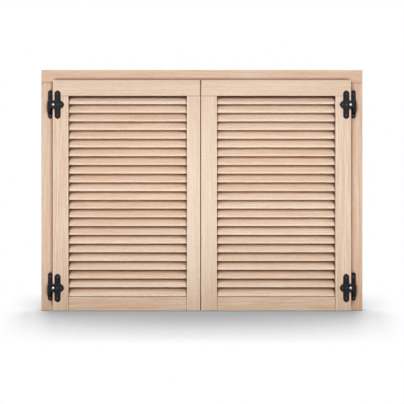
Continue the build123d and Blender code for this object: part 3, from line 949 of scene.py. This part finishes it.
def shown_or_lit(tree, lit, shown):
    """One shader for rays that show a surface, straight or in metal and glass, and one for light."""
    path = put(tree, "ShaderNodeLightPath").outputs
    direct = reckon(tree, "MAXIMUM", path["Is Camera Ray"], path["Is Glossy Ray"])
    direct = reckon(tree, "MAXIMUM", direct, path["Is Transmission Ray"])
    inputs = {0: direct, 1: lit.outputs[0], 2: shown.outputs[0]}
    return put(tree, "ShaderNodeMixShader", inputs).outputs[0]


class SHUTTER_OT_set_stage(bpy.types.Operator):
    """Sets the floor, the lamps, the white surround and the camera"""

    bl_idname = "shutter.set_stage"
    bl_label = "Set the stage"

    def execute(self, context):
        stage = context.scene.shutter_stage
        self.surround(context.scene, stage)
        self.floor(context.scene, stage)
        self.lamps(context.scene, stage)
        self.camera(context.scene, stage)
        context.scene.view_settings.view_transform = "Standard"
        return {"FINISHED"}

    def surround(self, scene, stage):
        """A white surround for the lens, and a plain soft light from all round for the object."""
        scene.world = bpy.data.worlds.new("studio")
        scene.world.use_nodes = True
        tree = scene.world.node_tree
        tree.nodes.clear()
        way = split(tree, put(tree, "ShaderNodeTexCoord").outputs["Generated"])
        strength = spread(tree, way[1], -SKY_TURN, SKY_TURN, stage.sky_front, stage.sky_back)
        strength = times(tree, strength, spread(tree, way[2], 0.0, SKY_RISE, stage.sky_low, 1.0))
        soft = put(tree, "ShaderNodeBackground", {"Strength": strength, "Color": WHITE})
        white = put(tree, "ShaderNodeBackground", {"Strength": 1.0, "Color": WHITE})
        put(tree, "ShaderNodeOutputWorld", {"Surface": shown_or_lit(tree, soft, white)})

    def floor(self, scene, stage):
        """A pale floor, white where nothing stands on it and grey in the object's painted soft shade.
        """
        bm = bmesh.new()
        bmesh.ops.create_grid(bm, x_segments=1, y_segments=1, size=FLOOR_SIZE)
        floor = bpy.data.objects.new("studio_floor", mesh_from(bm, "studio_floor"))
        floor.location.z = -FLOOR_DROP
        scene.collection.objects.link(floor)
        material = bpy.data.materials.new("studio_floor")
        material.use_nodes = True
        tree = material.node_tree
        tree.nodes.clear()
        shade = self.painted_floor_shade(tree, stage)
        # Painted shade: the floor's colour for light rays is darker near the object
        dimmed = spread(tree, shade, SHADE_DARK, 1.0, SHADE_DULL, 1.0)
        dimmed = blended(tree, dimmed, BLACK, opaque(stage.floor))
        pale = put(tree, "ShaderNodeBsdfDiffuse", {"Color": dimmed})
        white = put(tree, "ShaderNodeEmission", {"Color": shade, "Strength": 1.0})
        put(tree, "ShaderNodeOutputMaterial", {"Surface": shown_or_lit(tree, pale, white)})
        floor.data.materials.append(material)

    def painted_floor_shade(self, tree, stage):
        """How light the floor is, as a painted shade: dark by the object's foot, and fading away from
        it and aside.
        """
        place = split(tree, put(tree, "ShaderNodeNewGeometry").outputs["Position"])
        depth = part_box("left_jamb")[1].y
        lean = spread(tree, place[1], -depth, depth, SHADE_LEAN, -SHADE_LEAN)
        lean = vector_step(tree, "NORMALIZE", joined(tree, 0.0, lean, SHADE_RISE))
        outlook = {"Distance": stage.shade_reach, "Normal": lean}
        sky = put(tree, "ShaderNodeAmbientOcclusion", outlook, samples=SHADE_RAYS).outputs["AO"]
        shade = reckon(tree, "POWER", spread(tree, sky, *SHADE_SKY), SHADE_POWER)
        shade = spread(tree, shade, 0.0, 1.0, SHADE_DARK, 1.0)
        aside = reckon(tree, "ABSOLUTE", place[0])
        aside = minus(tree, aside, times(tree, place[1], SHADE_SLANT))
        half = (CAD_BOX[1][0] - CAD_BOX[0][0]) / 2
        faded = 0.0
        for start, finish, share in (FADE_BESIDE, FADE_BEYOND):
            step = spread(tree, aside, half + start, half + finish, 0.0, share)
            faded = plus(tree, faded, step)
        return plus(tree, shade, times(tree, faded, minus(tree, 1.0, shade)))

    def lamps(self, scene, stage):
        """A wide softbox over the lens, and a lower and dimmer one for the back."""
        middle = Vector((0.0, 0.0, stage.aim_height))
        for name, power, place in (
            ("front_softbox", stage.softbox, FRONT_SOFTBOX_PLACE),
            ("back_softbox", stage.back_softbox, BACK_SOFTBOX_PLACE),
        ):
            lamp = bpy.data.lights.new(name, "AREA")
            lamp.shape = "RECTANGLE"
            lamp.size, lamp.size_y = SOFTBOX_SIZE
            lamp.spread = stage.softbox_spread
            lamp.energy = power
            box = bpy.data.objects.new(name, lamp)
            box.location = place
            box.rotation_euler = (middle - box.location).to_track_quat("-Z", "Y").to_euler()
            box.visible_camera = False
            scene.collection.objects.link(box)

    def camera(self, scene, stage):
        """A level camera straight in front."""
        data = bpy.data.cameras.new("camera")
        data.lens = data.sensor_width * stage.eye_distance / stage.view_width
        camera = bpy.data.objects.new("camera", data)
        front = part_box("left_jamb")[0].y
        camera.location = (stage.eye_aside, front - stage.eye_distance, stage.eye_height)
        camera.rotation_euler = (math.radians(90.0), 0.0, 0.0)
        scene.collection.objects.link(camera)
        scene.camera = camera


class SHUTTER_PT_panel(bpy.types.Panel):
    """Lists the shutter's finishes and the steps that make them"""

    bl_idname = "SHUTTER_PT_panel"
    bl_label = "Louvred Shutter"
    bl_space_type = "VIEW_3D"
    bl_region_type = "UI"
    bl_category = "Shutter"

    def draw(self, context):
        for step in STEPS:
            self.layout.operator(step.bl_idname)
        for group in GROUPS:
            box = self.layout.box()
            settings = getattr(context.scene, group)
            for name in settings.bl_rna.properties.keys():
                if name not in ("rna_type", "name"):
                    box.prop(settings, name)


GROUPS = {
    "shutter_timber": ShutterTimber,
    "shutter_slats": ShutterSlats,
    "shutter_fittings": ShutterFittings,
    "shutter_stage": ShutterStage,
}
STEPS = (
    SHUTTER_OT_dress_frame,
    SHUTTER_OT_dress_leaves,
    SHUTTER_OT_dress_slats,
    SHUTTER_OT_dress_hinges,
    SHUTTER_OT_dress_lock_screws,
    SHUTTER_OT_make_wood_screws,
    SHUTTER_OT_set_stage,
)


def register():
    """Registers the settings, the steps and the panel."""
    for group in (*GROUPS.values(), *STEPS, SHUTTER_PT_panel):
        bpy.utils.register_class(group)
    for name, group in GROUPS.items():
        setattr(bpy.types.Scene, name, PointerProperty(type=group))


def unregister():
    """Takes them away again."""
    for name in GROUPS:
        delattr(bpy.types.Scene, name)
    for group in reversed((*GROUPS.values(), *STEPS, SHUTTER_PT_panel)):
        bpy.utils.unregister_class(group)


def main():
    """Runs every step in order."""
    register()
    for step in STEPS:
        getattr(bpy.ops.shutter, step.bl_idname.split(".")[1])()


if __name__ == "__main__":
    main()
